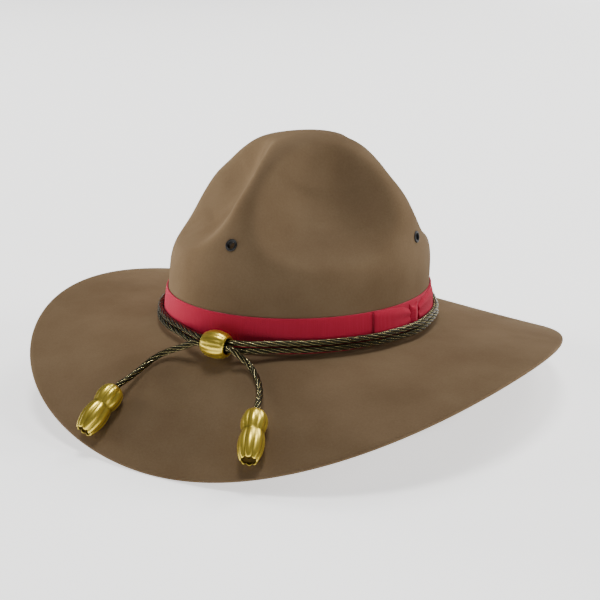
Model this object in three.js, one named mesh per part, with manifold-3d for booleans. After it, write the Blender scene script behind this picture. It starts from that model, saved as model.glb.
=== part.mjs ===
// A campaign hat. The felt is one piece: a crown with four dents that leave four ridges, and a
// wide brim that droops at the front and the rear. Round the foot of the crown lie a ribbon with
// a flat bow and a cord wound twice, whose ends come out of a slide and end in acorns.
//
// Millimetres, +Z up. The front of the hat is at -Y and the wearer's left at +X. The hat rests on
// the front and rear edges of its brim, which are flattened a little where they touch, at z = 0.
// Angles round the hat are in degrees from the front towards the wearer's left.

import * as THREE from 'three';
import { mergeVertices } from 'three/addons/utils/BufferGeometryUtils.js';
import Module from 'manifold-3d';

// How the hat sits: its own level is the break line between crown and brim
const PITCH = 3.15; // degrees that the front is raised, so that both edges touch
const LIFT = 48.8; // height of the break line's centre over the surface
const SHIFT = -3.3; // moves the middle of the brim's length to the origin

// Felt
const FELT = 2.4; // thickness of the wall
const BREAK = 1.6; // size of the bevel in the corner between crown and brim
const CROWN_ROWS = [
  { height: 0, halfLength: 104, halfWidth: 88 },
  { height: 25, halfLength: 103, halfWidth: 86 },
  { height: 45, halfLength: 102.5, halfWidth: 85 },
  { height: 62, halfLength: 97.5, halfWidth: 82 },
  { height: 78, halfLength: 89.5, halfWidth: 79 },
  { height: 92, halfLength: 81, halfWidth: 72 },
  { height: 104, halfLength: 68.5, halfWidth: 60.5 },
  { height: 114, halfLength: 55.5, halfWidth: 49 },
  { height: 122, halfLength: 37, halfWidth: 35 },
  { height: 126.3, halfLength: 19, halfWidth: 17 },
  { height: 127.8, halfLength: 0, halfWidth: 0 },
];
const LEAN = { side: 3.5, back: 2 }; // how far the top of the crown stands off the middle

// One row for each dent. Middle and reach are shares of the way from the brim to the top.
const DENT_ROWS = [
  { at: 45, spread: 39, middle: 0.55, reach: 0.29, depth: 26 },
  { at: 135, spread: 39, middle: 0.55, reach: 0.29, depth: 26 },
  { at: 225, spread: 39, middle: 0.55, reach: 0.29, depth: 26 },
  { at: 315, spread: 39, middle: 0.55, reach: 0.29, depth: 26 },
];
const DENT_SQUARENESS = 2.6; // 2 would be an oval
const DENT_SOFTNESS = 0.2; // rounding of the ridges between the dents

// One row for each eighth of the brim, the same on both sides. Width is measured along the felt.
const BRIM_ROWS = [
  { at: 0, width: 96.5, drop: 57.5 },
  { at: 45, width: 95.2, drop: 25.5 },
  { at: 90, width: 93.8, drop: 0 },
  { at: 135, width: 95.2, drop: 19.5 },
  { at: 180, width: 96.5, drop: 37 },
];
const BRIM_SPAN = 0.985; // straight line across the curved brim, as a share of its width
const BRIM_BEND = 1.25; // 1 is a straight slope, more bends down towards the edge

// Ribbon and bow
const GAP = 0.3; // clearance between pieces
const RIBBON = 1.0; // thickness of the ribbon and of each layer of the bow
const RIBBON_FOOT = 1.8;
const RIBBON_TOP = 24.3;
const BOW_AT = 87.5; // degrees
const WING_ROWS = [
  { away: 24, lower: 1.8, upper: 24.3 },
  { away: 16, lower: 2.0, upper: 24.0 },
  { away: 8, lower: 3.5, upper: 22.5 },
  { away: 3.6, lower: 7, upper: 19.5 },
];
const KNOT = { away: 3.2, lower: 4, upper: 22.5, thickness: 2.2 };

// Cord and slide
const CORD = 4; // diameter
const CORD_SIDES = 8;
const TURN_HEIGHT = 7.3; // height between the two turns
const TURN_PITCH = 4.3; // from one turn to the other
const SLIDE = { side: 4.5, length: 17, radius: 8.6, endRadius: 7.2, bore: 5.0 };
const STRAND_RING = 2.6; // the three strands in the slide lie on a circle of this radius
const STRAND_TWIST = 120; // degrees that the strands turn along the slide
const STRAND_OUT = 0.2; // length of strand that shows at each mouth of the slide
const EASE = 18; // degrees that the turns take to come from the slide to the ribbon
const EASE_START = -2; // degrees before a turn begins from which the ease is counted
const TURN_FREE = 4; // from the mouth of the slide to the first point of a turn
const TURN_MOUTH_OUT = 0.4; // how much further out a turn starts than the middle of its strands
const TURN_POINTS = 44;
const TURNS_STEPS = 136;
const TAIL_STEPS = 20;
const OVER_BOW = { margin: 2, ease: 6 }; // degrees in which the cord climbs over the bow

// The free ends of the cord, in the hat's own axes, from the slide to the bore of the acorn
const TAIL_RIGHT = [
  [-4.9, -116.8, 7.3], [-9.5, -116.9, 6.9], [-14.5, -116.7, 4.6], [-20, -116.3, 1.9],
  [-25.4, -116.4, -0.5], [-30.8, -117.2, -3], [-35.3, -119.4, -5.7], [-38.6, -122.8, -8.4],
  [-41, -127.9, -11.5], [-42.6, -133.8, -14.4], [-44, -139.3, -16.6], [-45.4, -143.9, -18.2],
  [-46.5, -147.8, -19.9], [-47.4, -152.3, -23.4],
];
const TAIL_LEFT = [
  [13.7, -116.8, 7.3], [17.3, -116.7, 6.8], [20.6, -115.9, 4.3], [24, -114.9, 1.7],
  [27.8, -114.7, -0.9], [32, -116.1, -3.8], [36.1, -118.7, -6.4], [39.9, -122.2, -8.6],
  [43.7, -126.8, -10.9], [47.1, -132.3, -12.9], [49.5, -138, -14.5], [51.4, -143, -16.9],
  [53.3, -147.8, -20.5],
];

// Acorns lie on the brim in front, their bore towards the crown
const ACORN_ROWS = [
  { name: 'acorn_right', middle: [-49.5, -162.6, -31.6], along: [-0.155, -0.773, -0.615] },
  { name: 'acorn_left', middle: [57.5, -157.8, -28.05], along: [0.318, -0.755, -0.575] },
];
const ACORN = { length: 35, bore: 2.35, boreDepth: 5.5, hollowDepth: 2.5 };
const ACORN_PROFILE = [
  { from: 0, radius: 4.6 },
  { from: 3, radius: 7 },
  { from: 7, radius: 8.1 },
  { from: 11, radius: 7.9 },
  { from: 15, radius: 6.8 },
  { from: 18.5, radius: 7.6 },
  { from: 23, radius: 8.1 },
  { from: 28.5, radius: 7.5 },
  { from: 34, radius: 6.1 },
  { from: 35, radius: 4.6 },
];
const ACORN_HOLLOW = 3.6; // radius of the floor of the hollow in the far end

// Vent eyelets, one at the foot of each ridge
const EYELET_ROWS = [
  { name: 'eyelet_front', at: 0, height: 66.6 },
  { name: 'eyelet_left', at: 94, height: 64 },
  { name: 'eyelet_rear', at: 180, height: 65 },
  { name: 'eyelet_right', at: 270, height: 65 },
];
const EYELET = { hole: 2.4, barrel: 2.9, flange: 4, lip: 0.7, bevel: 0.5, seat: 0.45 };
const VENT = 3.3; // radius of the hole in the felt

// How finely the felt is divided
const QUARTER = [0, 4, 9, 15, 22, 30, 38, 45, 52, 60, 68, 75, 81, 86]; // degrees
const AROUND = [0, 90, 180, 270].flatMap((quarter) => QUARTER.map((step) => quarter + step));
const BRIM_RINGS = [1, 0.84, 0.68, 0.52, 0.36, 0.2, 0.08];
const CROWN_RINGS = [
  0.1, 0.18, 0.25, 0.3, 0.35, 0.4, 0.45, 0.5, 0.55, 0.6, 0.65, 0.7, 0.75, 0.8, 0.85, 0.9, 0.95,
];
const VENT_SIDES = 12;
const SLIDE_SIDES = 20;
const ACORN_SIDES = 14;

const wasm = await Module();
wasm.setup();

const radians = THREE.MathUtils.degToRad;
const vector = (list) => new THREE.Vector3(...list);

// Makes a geometry one closed body with its faces outwards
function closed(geometry) {
  geometry.deleteAttribute('normal');
  geometry.deleteAttribute('uv');
  const merged = mergeVertices(geometry, 1e-4);
  const point = merged.getAttribute('position');
  const index = merged.getIndex().array;
  const corner = (k) => new THREE.Vector3().fromBufferAttribute(point, index[k]);
  let volume = 0;
  for (let k = 0; k < index.length; k += 3) {
    volume += corner(k).dot(corner(k + 1).cross(corner(k + 2)));
  }
  if (volume < 0) {
    for (let k = 0; k < index.length; k += 3) {
      [index[k], index[k + 1]] = [index[k + 1], index[k]];
    }
  }
  merged.computeVertexNormals();
  return merged;
}

function surfaceOf(points, faces) {
  const geometry = new THREE.BufferGeometry();
  const numbers = points.flatMap((point) => point.toArray());
  geometry.setAttribute('position', new THREE.Float32BufferAttribute(numbers, 3));
  geometry.setIndex(faces.flat());
  return geometry;
}

// Crown: a smooth curve through the rows, which crosses the top level
function crownRow(share) {
  const last = CROWN_ROWS.length - 1;
  const place = THREE.MathUtils.clamp(share, 0, 1) * last;
  const i = Math.min(Math.floor(place), last - 1);
  const f = place - i;
  const column = (name) => {
    const at = (k) => {
      if (k < 0) return 2 * CROWN_ROWS[0][name] - CROWN_ROWS[1][name];
      if (k > last) return CROWN_ROWS[last - 1][name] * (name === 'height' ? 1 : -1);
      return CROWN_ROWS[k][name];
    };
    const [a, b, c, d] = [at(i - 1), at(i), at(i + 1), at(i + 2)];
    return b + 0.5 * f * (c - a + f * (2 * a - 5 * b + 4 * c - d + f * (3 * b - a - 3 * c + d)));
  };
  return { height: column('height'), length: column('halfLength'), width: column('halfWidth') };
}

function domePoint(share, at) {
  const { height, length, width } = crownRow(share);
  const lean = height / CROWN_ROWS.at(-1).height;
  return new THREE.Vector3(
    width * Math.sin(radians(at)) + LEAN.side * lean,
    -length * Math.cos(radians(at)) + LEAN.back * lean,
    height,
  );
}

// 1 in the middle of a dent and 0 outside the dents, with a soft rim
function dentDepth(share, at) {
  let depth = 0;
  for (const dent of DENT_ROWS) {
    const turned = THREE.MathUtils.euclideanModulo(at - dent.at + 180, 360) - 180;
    const across = Math.abs(turned / dent.spread) ** DENT_SQUARENESS;
    const along = Math.abs((share - dent.middle) / dent.reach) ** DENT_SQUARENESS;
    const inside = 1 - across - along;
    depth += (dent.depth * (inside + Math.hypot(inside, DENT_SOFTNESS))) / 2;
  }
  return depth;
}

function crownPoint(share, at) {
  const step = 1e-3;
  const { length, width } = crownRow(share);
  const sideways = new THREE.Vector3(width * Math.cos(radians(at)), length * Math.sin(radians(at)), 0);
  const upwards = domePoint(share + step, at).sub(domePoint(share - step, at));
  const outwards = sideways.cross(upwards).normalize();
  return domePoint(share, at).addScaledVector(outwards, -dentDepth(share, at));
}

function shareAtHeight(height) {
  let [low, high] = [0, 1];
  for (let k = 0; k < 40; k += 1) {
    const middle = (low + high) / 2;
    if (crownRow(middle).height < height) low = middle;
    else high = middle;
  }
  return (low + high) / 2;
}

// A smooth closed curve through the five rows of the brim, the same on both sides
function brimColumn(name, at) {
  const values = BRIM_ROWS.map((row) => row[name]);
  const ends = (k) => (k === 0 || k === 4 ? 0.5 : 1);
  let sum = 0;
  for (let wave = 0; wave < 5; wave += 1) {
    const part = values.reduce((p, v, k) => p + ends(k) * v * Math.cos((wave * k * Math.PI) / 4), 0);
    sum += (ends(wave) * part * Math.cos(wave * radians(at))) / 2;
  }
  return sum;
}

// The upper face of the brim: share 0 at the crown and 1 at the edge
function brimPoint(share, at) {
  const { length, width } = crownRow(0);
  const drop = brimColumn('drop', at);
  const span = Math.sqrt((BRIM_SPAN * brimColumn('width', at)) ** 2 - drop ** 2);
  const foot = new THREE.Vector3(width * Math.sin(radians(at)), -length * Math.cos(radians(at)), 0);
  const outwards = new THREE.Vector3(length * Math.sin(radians(at)), -width * Math.cos(radians(at)), 0);
  const point = foot.addScaledVector(outwards.normalize(), span * share);
  point.z = -drop * share ** BRIM_BEND;
  return point;
}

// Puts a thing in the hat's own axes where the hat stands
const seat = new THREE.Matrix4()
  .makeRotationX(-radians(PITCH))
  .setPosition(0, SHIFT, LIFT);

function feltSolid() {
  const columns = AROUND.length;
  const widest = BRIM_SPAN * BRIM_ROWS[2].width;
  const rings = [
    ...BRIM_RINGS.map((share) => AROUND.map((at) => brimPoint(share, at))),
    AROUND.map((at) => brimPoint(BREAK / widest, at)),
    AROUND.map((at) => crownPoint(shareAtHeight(BREAK), at)),
    ...CROWN_RINGS.map((share) => AROUND.map((at) => crownPoint(share, at))),
  ];
  const outside = [...rings.flat(), crownPoint(1, 0)];
  const top = outside.length - 1;
  const faces = [];
  const next = (j) => (j + 1) % columns;
  for (let i = 0; i < rings.length - 1; i += 1) {
    for (let j = 0; j < columns; j += 1) {
      const [a, b] = [i * columns + j, i * columns + next(j)];
      faces.push([a, b, b + columns], [a, b + columns, a + columns]);
    }
  }
  const last = (rings.length - 1) * columns;
  for (let j = 0; j < columns; j += 1) faces.push([last + j, last + next(j), top]);

  // The inside follows the outside at the thickness of the felt
  const skin = surfaceOf(outside, faces);
  skin.computeVertexNormals();
  const normal = skin.getAttribute('normal');
  const inside = outside.map((point, k) => (
    point.clone().addScaledVector(new THREE.Vector3().fromBufferAttribute(normal, k), -FELT)
  ));
  const count = outside.length;
  const inner = faces.map(([a, b, c]) => [a + count, c + count, b + count]);
  const edge = [];
  for (let j = 0; j < columns; j += 1) {
    edge.push([j + count, next(j) + count, next(j)], [j + count, next(j), j]);
  }

  // The brim is flattened where it rests
  const points = [...outside, ...inside].map((point) => {
    const seated = point.applyMatrix4(seat);
    seated.z = Math.max(seated.z, 0);
    return seated;
  });
  return closed(surfaceOf(points, [...faces, ...inner, ...edge]));
}

function toManifold(geometry) {
  const mesh = new wasm.Mesh({
    numProp: 3,
    vertProperties: new Float32Array(geometry.getAttribute('position').array),
    triVerts: new Uint32Array(geometry.getIndex().array),
  });
  return new wasm.Manifold(mesh);
}

function fromManifold(manifold) {
  const mesh = manifold.getMesh();
  const geometry = new THREE.BufferGeometry();
  geometry.setAttribute('position', new THREE.Float32BufferAttribute(mesh.vertProperties, 3));
  geometry.setIndex(new THREE.Uint32BufferAttribute(mesh.triVerts, 1));
  return closed(geometry);
}

// Where an eyelet sits: a frame whose Y axis points out of the felt
function eyeletFrame(at, height) {
  const share = shareAtHeight(height);
  const middle = crownPoint(share, at);
  const sideways = crownPoint(share, at + 1).sub(crownPoint(share, at - 1));
  const upwards = crownPoint(share + 0.01, at).sub(crownPoint(share - 0.01, at));
  const outwards = sideways.cross(upwards).normalize();
  const turn = new THREE.Quaternion().setFromUnitVectors(new THREE.Vector3(0, 1, 0), outwards);
  return { middle, turn };
}

function feltWithVents() {
  let felt = toManifold(feltSolid());
  for (const { at, height } of EYELET_ROWS) {
    const { middle, turn } = eyeletFrame(at, height);
    const drill = new THREE.CylinderGeometry(VENT, VENT, 8 * FELT, VENT_SIDES);
    drill.applyQuaternion(turn);
    drill.translate(middle.x, middle.y, middle.z);
    drill.applyMatrix4(seat);
    felt = felt.subtract(toManifold(closed(drill)));
  }
  return fromManifold(felt);
}

function eyeletRing() {
  const outer = EYELET.seat;
  const inner = -FELT - EYELET.seat;
  const profile = [
    [EYELET.hole, outer + EYELET.lip],
    [EYELET.hole, inner - EYELET.lip],
    [EYELET.flange, inner - EYELET.lip],
    [EYELET.flange, inner],
    [EYELET.barrel, inner],
    [EYELET.barrel, outer],
    [EYELET.flange, outer],
    [EYELET.flange - EYELET.bevel, outer + EYELET.lip],
    [EYELET.hole, outer + EYELET.lip],
  ].map(([x, y]) => new THREE.Vector2(x, y));
  return closed(new THREE.LatheGeometry(profile, VENT_SIDES));
}

// A point beside the foot of the crown, a distance outwards from the felt
function besideCrown(at, height, out) {
  const { length, width } = crownRow(shareAtHeight(height));
  const outwards = new THREE.Vector3(length * Math.sin(radians(at)), -width * Math.cos(radians(at)), 0);
  const point = domePoint(shareAtHeight(height), at);
  return point.addScaledVector(outwards.normalize(), out);
}

// A strip that follows the crown through rows of angle, lower and upper edge
function strip(rows, out, thickness, isRing = false) {
  const points = rows.flatMap(({ at, lower, upper }) => [
    besideCrown(at, lower, out),
    besideCrown(at, lower, out + thickness),
    besideCrown(at, upper, out + thickness),
    besideCrown(at, upper, out),
  ]);
  const faces = [];
  const spans = isRing ? rows.length : rows.length - 1;
  for (let i = 0; i < spans; i += 1) {
    for (let k = 0; k < 4; k += 1) {
      const [a, b] = [4 * i + k, 4 * i + ((k + 1) % 4)];
      const [c, d] = [a, b].map((corner) => (corner + 4) % points.length);
      faces.push([a, c, d], [a, d, b]);
    }
  }
  if (!isRing) {
    const end = points.length - 4;
    faces.push([0, 1, 2], [0, 2, 3], [end, end + 2, end + 1], [end, end + 3, end + 2]);
  }
  return closed(surfaceOf(points, faces));
}

function ribbonBand() {
  const rows = AROUND.map((at) => ({ at, lower: RIBBON_FOOT, upper: RIBBON_TOP }));
  return strip(rows, GAP, RIBBON, true);
}

// One wing of the bow; side -1 is the front wing and 1 the rear wing
function bowWing(side) {
  const rows = [];
  for (let k = 0; k < WING_ROWS.length - 1; k += 1) {
    const [from, to] = [WING_ROWS[k], WING_ROWS[k + 1]];
    for (const f of [0, 0.5]) {
      rows.push({
        at: BOW_AT + side * THREE.MathUtils.lerp(from.away, to.away, f),
        lower: THREE.MathUtils.lerp(from.lower, to.lower, f),
        upper: THREE.MathUtils.lerp(from.upper, to.upper, f),
      });
    }
  }
  const last = WING_ROWS.at(-1);
  rows.push({ at: BOW_AT + side * last.away, lower: last.lower, upper: last.upper });
  return strip(rows, 2 * GAP + RIBBON, RIBBON);
}

function bowKnot() {
  const rows = [-1, 0, 1].map((side) => (
    { at: BOW_AT + side * KNOT.away, lower: KNOT.lower, upper: KNOT.upper }
  ));
  return strip(rows, 2 * GAP + RIBBON, KNOT.thickness);
}

// A tube of the cord's thickness along a smooth line
function cordTube(points, steps) {
  const section = new THREE.Shape();
  for (let k = 0; k < CORD_SIDES; k += 1) {
    const angle = (2 * Math.PI * (k + 0.5)) / CORD_SIDES;
    const [x, y] = [Math.cos(angle) * CORD / 2, Math.sin(angle) * CORD / 2];
    if (k === 0) section.moveTo(x, y);
    else section.lineTo(x, y);
  }
  section.closePath();
  const line = new THREE.CatmullRomCurve3(points, false, 'centripetal');
  return closed(new THREE.ExtrudeGeometry(section, { extrudePath: line, steps }));
}

// How far the middle of the cord lies from the felt, over the ribbon, the bow and the knot
function cordStandoff(at) {
  const away = Math.abs(THREE.MathUtils.euclideanModulo(at - BOW_AT + 180, 360) - 180);
  const over = (reach) => {
    const top = reach + OVER_BOW.margin;
    return 1 - THREE.MathUtils.smoothstep(away, top, top + OVER_BOW.ease);
  };
  const wings = (GAP + RIBBON) * over(WING_ROWS[0].away);
  const knot = (KNOT.thickness - RIBBON) * over(KNOT.away);
  return GAP + RIBBON + GAP + CORD / 2 + wings + knot;
}

const slideMiddle = new THREE.Vector3(
  SLIDE.side,
  -(CROWN_ROWS[0].halfLength + 2 * GAP + RIBBON + SLIDE.radius),
  TURN_HEIGHT,
);

// One of the three strands in the slide, from the wearer's right mouth to the left one
function slideStrand(startAngle) {
  return [0, 0.25, 0.5, 0.75, 1].map((f) => {
    const angle = radians(startAngle - STRAND_TWIST * THREE.MathUtils.smoothstep(f, 0, 1));
    return new THREE.Vector3(
      slideMiddle.x + (f - 0.5) * (SLIDE.length + 2 * STRAND_OUT),
      slideMiddle.y - STRAND_RING * Math.cos(angle),
      slideMiddle.z + STRAND_RING * Math.sin(angle),
    );
  });
}

// One turn round the crown, from the slide's left mouth round the rear to its right mouth
function cordTurn(level) {
  const { length, width } = crownRow(shareAtHeight(TURN_HEIGHT));
  const half = SLIDE.length / 2 + TURN_FREE;
  const angleOf = (x) => THREE.MathUtils.radToDeg(Math.asin(x / (width + GAP + RIBBON + CORD / 2)));
  const start = angleOf(slideMiddle.x + half);
  const end = 360 + angleOf(slideMiddle.x - half);
  const out = -slideMiddle.y - length - STRAND_RING / 2 + TURN_MOUTH_OUT;
  const points = [];
  for (let k = 0; k <= TURN_POINTS; k += 1) {
    const at = THREE.MathUtils.lerp(start, end, k / TURN_POINTS);
    const near = Math.min(at - start, end - at);
    const far = THREE.MathUtils.smoothstep(near, EASE_START, EASE);
    const standoff = THREE.MathUtils.lerp(out, cordStandoff(at), far);
    points.push(besideCrown(at, TURN_HEIGHT + (level * TURN_PITCH) / 2, standoff));
  }
  return points;
}

function cordTurns() {
  const route = [
    ...slideStrand(0),
    ...cordTurn(-1),
    ...slideStrand(-STRAND_TWIST),
    ...cordTurn(1),
    ...slideStrand(STRAND_TWIST),
  ];
  return cordTube(route, TURNS_STEPS);
}

function slideBarrel() {
  const { length, radius, endRadius, bore } = SLIDE;
  const profile = [
    [bore, -length / 2], [endRadius, -length / 2], [radius, -length / 4],
    [radius, length / 4], [endRadius, length / 2], [bore, length / 2], [bore, -length / 2],
  ].map(([x, y]) => new THREE.Vector2(x, y));
  const barrel = new THREE.LatheGeometry(profile, SLIDE_SIDES);
  barrel.rotateZ(-Math.PI / 2);
  return closed(barrel);
}

// A cap and a nut with a waist between them, a bore for the cord and a hollow in the far end
function acornBody() {
  const { length, bore, boreDepth, hollowDepth } = ACORN;
  const half = length / 2;
  const profile = [
    [0, -half + boreDepth], [bore, -half + boreDepth], [bore, -half],
    ...ACORN_PROFILE.map(({ from, radius }) => [radius, from - half]),
    [ACORN_HOLLOW, half - hollowDepth], [0, half - hollowDepth],
  ].map(([x, y]) => new THREE.Vector2(x, y));
  return closed(new THREE.LatheGeometry(profile, ACORN_SIDES));
}

// Finishes
const finish = (color, roughness, metalness = 0) => (
  new THREE.MeshStandardMaterial({ color, roughness, metalness })
);
const feltFinish = finish('#7a644e', 0.95);
const ribbonFinish = finish('#b02c40', 0.75);
const cordFinish = finish('#2a2a20', 0.7);
const goldFinish = finish('#c9ac4c', 0.3, 1);
const blackFinish = finish('#1c1b1a', 0.5);

function named(name, geometry, material) {
  const mesh = new THREE.Mesh(geometry, material);
  mesh.name = name;
  return mesh;
}

const group = new THREE.Group();
group.add(named('felt_body', feltWithVents(), feltFinish));

// What sits on the felt is placed in the hat's own axes
const trim = new THREE.Group();
trim.rotation.x = -radians(PITCH);
trim.position.set(0, SHIFT, LIFT);
group.add(trim);

trim.add(
  named('ribbon_band', ribbonBand(), ribbonFinish),
  named('bow_wing_front', bowWing(-1), ribbonFinish),
  named('bow_wing_rear', bowWing(1), ribbonFinish),
  named('bow_knot', bowKnot(), ribbonFinish),
  named('cord_turns', cordTurns(), cordFinish),
  named('cord_tail_right', cordTube(TAIL_RIGHT.map(vector), TAIL_STEPS), cordFinish),
  named('cord_tail_left', cordTube(TAIL_LEFT.map(vector), TAIL_STEPS), cordFinish),
);

const slide = named('cord_slide', slideBarrel(), goldFinish);
slide.position.copy(slideMiddle);
trim.add(slide);

for (const { name, middle, along } of ACORN_ROWS) {
  const acorn = named(name, acornBody(), goldFinish);
  acorn.position.set(...middle);
  acorn.quaternion.setFromUnitVectors(new THREE.Vector3(0, 1, 0), vector(along).normalize());
  trim.add(acorn);
}

for (const { name, at, height } of EYELET_ROWS) {
  const { middle, turn } = eyeletFrame(at, height);
  const eyelet = named(name, eyeletRing(), blackFinish);
  eyelet.position.copy(middle);
  eyelet.quaternion.copy(turn);
  trim.add(eyelet);
}

export default group;
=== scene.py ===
# %% [markdown]
# # A felt campaign hat
# The solids of the hat are already packed at their real size. This lesson gives each of them the
# surface of the real thing: fur felt, ribbed grosgrain ribbon, a cord twisted from dark yarn and
# metal thread, and gilt fittings. Every piece is worked out from the same few sizes as its solid, so
# it lies exactly where the solid lies.

# %% Load the solids
import math

import bpy
import numpy as np
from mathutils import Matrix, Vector


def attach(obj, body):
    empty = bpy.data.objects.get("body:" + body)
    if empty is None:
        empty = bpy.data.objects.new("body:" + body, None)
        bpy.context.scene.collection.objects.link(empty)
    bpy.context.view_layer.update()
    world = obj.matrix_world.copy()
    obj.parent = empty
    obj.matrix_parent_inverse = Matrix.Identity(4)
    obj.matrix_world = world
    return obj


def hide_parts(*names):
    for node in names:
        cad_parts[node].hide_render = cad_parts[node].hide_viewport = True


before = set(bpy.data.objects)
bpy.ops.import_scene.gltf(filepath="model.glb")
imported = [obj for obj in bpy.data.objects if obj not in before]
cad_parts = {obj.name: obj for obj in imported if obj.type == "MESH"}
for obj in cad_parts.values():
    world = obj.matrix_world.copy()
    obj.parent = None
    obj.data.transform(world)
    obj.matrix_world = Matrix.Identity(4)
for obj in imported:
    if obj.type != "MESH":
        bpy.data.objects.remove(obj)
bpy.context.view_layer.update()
print("solids:", ", ".join(sorted(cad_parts)))

# %% [markdown]
# ## Where the hat sits
# The hat rests on the front and the rear edge of its drooping brim. Its own axes have the line where
# the crown meets the brim at height zero, the front at -Y and the wearer's left at +X. The front is
# tipped up a little so that both edges touch the floor. All sizes below are millimetres in the
# hat's own axes, and one function turns them into metres where the hat stands.

# %% Seat of the hat
MM = 0.001
PITCH = math.radians(3.15)
LIFT = 48.8
SHIFT = -3.3


def seat(points):
    """Turns millimetres in the hat's own axes into metres where the hat stands."""
    x, y, z = np.moveaxis(np.asarray(points, float), -1, 0)
    cosine, sine = math.cos(-PITCH), math.sin(-PITCH)
    return MM * np.stack([x, cosine * y - sine * z + SHIFT, sine * y + cosine * z + LIFT], axis=-1)


print("middle of the crown's foot:", seat([0, 0, 0]).round(4))

# %% [markdown]
# ## Camera
# The camera is a plain perspective camera, placed by its distance and two angles from the middle of
# the crown's foot. The long lens keeps the near and the far side of the brim alike, as in a product
# photograph, and a small shift frames the hat without turning the camera.

# %% Camera
AZIMUTH = math.radians(29.14)
ELEVATION = math.radians(18.72)
DISTANCE = 904.47
LENS = 77.5
SENSOR = 36
FRAME_SHIFT = (0.0015, 0.0212)

camera_data = bpy.data.cameras.new("camera")
camera_data.lens = LENS
camera_data.sensor_width = SENSOR
camera_data.shift_x, camera_data.shift_y = FRAME_SHIFT
camera = bpy.data.objects.new("camera", camera_data)
bpy.context.collection.objects.link(camera)
away = Vector((
    math.sin(AZIMUTH) * math.cos(ELEVATION),
    -math.cos(AZIMUTH) * math.cos(ELEVATION),
    math.sin(ELEVATION),
))
camera.location = Vector(seat([0, 0, 0])) + MM * DISTANCE * away
camera.rotation_mode = "QUATERNION"
camera.rotation_quaternion = (-away).to_track_quat("-Z", "Y")
bpy.context.scene.camera = camera
print("camera at", [round(x, 3) for x in camera.location])

# %% [markdown]
# ## The crown and the brim as formulas
# A hat body is blocked: steamed felt is pulled over a wooden form. The form here is a short table of
# ovals, smoothed by a curve, with four dents pressed in between the four ridges. The brim is a slope
# that falls most at the front and the rear. Both are functions of two numbers: an angle round the hat
# in degrees from the front, and a share of the way along the felt.

# %% Shape of the crown
CROWN_ROWS = np.array([
    # height, half length, half width
    (0, 104, 88),
    (25, 103, 86),
    (45, 102.5, 85),
    (62, 97.5, 82),
    (78, 89.5, 79),
    (92, 81, 72),
    (104, 68.5, 60.5),
    (114, 55.5, 49),
    (122, 37, 35),
    (126.3, 19, 17),
    (127.8, 0, 0),
])
LEAN_SIDE = 3.5
LEAN_BACK = 2
DENT_ANGLES = (45, 135, 225, 315)
DENT_SPREAD = 39
DENT_MIDDLE = 0.55
DENT_REACH = 0.29
DENT_DEPTH = 26
DENT_SQUARENESS = 2.6
DENT_SOFTNESS = 0.2
HEIGHT_SAMPLES = 4001
SMALL_STEP = 1e-3


def crown_row(share):
    """Height, half length and half width at a share of the way up the crown."""
    below = 2 * CROWN_ROWS[0] - CROWN_ROWS[1]
    above = CROWN_ROWS[-2] * (1, -1, -1)
    rows = np.vstack([below, CROWN_ROWS, above])
    place = np.clip(share, 0, 1) * (len(CROWN_ROWS) - 1)
    i = np.minimum(np.floor(place).astype(int), len(CROWN_ROWS) - 2)
    f = (place - i)[..., None]
    a, b, c, d = rows[i], rows[i + 1], rows[i + 2], rows[i + 3]
    row = b + 0.5 * f * (c - a + f * (2 * a - 5 * b + 4 * c - d + f * (3 * b - a - 3 * c + d)))
    return np.moveaxis(row, -1, 0)


def share_at_height(height):
    """The share of the way up at which the crown reaches a height."""
    shares = np.linspace(0, 1, HEIGHT_SAMPLES)
    return np.interp(height, crown_row(shares)[0], shares)


def dome_point(share, at):
    """A point of the crown before the dents are pressed in."""
    height, length, width = crown_row(share)
    lean = height / CROWN_ROWS[-1, 0]
    x = width * np.sin(np.radians(at)) + LEAN_SIDE * lean
    y = -length * np.cos(np.radians(at)) + LEAN_BACK * lean
    return np.stack(np.broadcast_arrays(x, y, height), axis=-1)


def dent_depth(share, at):
    """How deep the dents are pressed in, with soft rims."""
    depth = 0
    for angle in DENT_ANGLES:
        turned = (at - angle + 180) % 360 - 180
        across = np.abs(turned / DENT_SPREAD) ** DENT_SQUARENESS
        along = np.abs((share - DENT_MIDDLE) / DENT_REACH) ** DENT_SQUARENESS
        inside = 1 - across - along
        depth = depth + DENT_DEPTH * (inside + np.hypot(inside, DENT_SOFTNESS)) / 2
    return depth


def crown_point(share, at):
    """A point on the outside of the crown, with the dents."""
    share, at = np.broadcast_arrays(np.asarray(share, float), np.asarray(at, float))
    _, length, width = crown_row(share)
    turn = np.radians(at)
    sideways = np.stack([width * np.cos(turn), length * np.sin(turn), 0 * turn], axis=-1)
    upwards = dome_point(share + SMALL_STEP, at) - dome_point(share - SMALL_STEP, at)
    outwards = np.cross(sideways, upwards)
    outwards /= np.maximum(np.linalg.norm(outwards, axis=-1, keepdims=True), 1e-9)
    return dome_point(share, at) - outwards * dent_depth(share, at)[..., None]


print("top of the crown:", crown_row(np.array(1.0))[0].round(1), "mm over the brim")

# %% Shape of the brim
BRIM_WIDTHS = (96.5, 95.2, 93.8, 95.2, 96.5)
BRIM_DROPS = (57.5, 25.5, 0, 19.5, 37)
BRIM_SPAN = 0.985
BRIM_BEND = 1.25
FOOT_LENGTH, FOOT_WIDTH = CROWN_ROWS[0, 1:]


def brim_value(values, at):
    """A smooth curve through five values, given at 0, 45, 90, 135 and 180 degrees."""
    ends = np.array([0.5, 1, 1, 1, 0.5])
    steps = np.arange(5)
    total = 0
    for wave in steps:
        part = (ends * values * np.cos(wave * steps * math.pi / 4)).sum()
        total = total + ends[wave] * part * np.cos(wave * np.radians(at)) / 2
    return total


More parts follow.
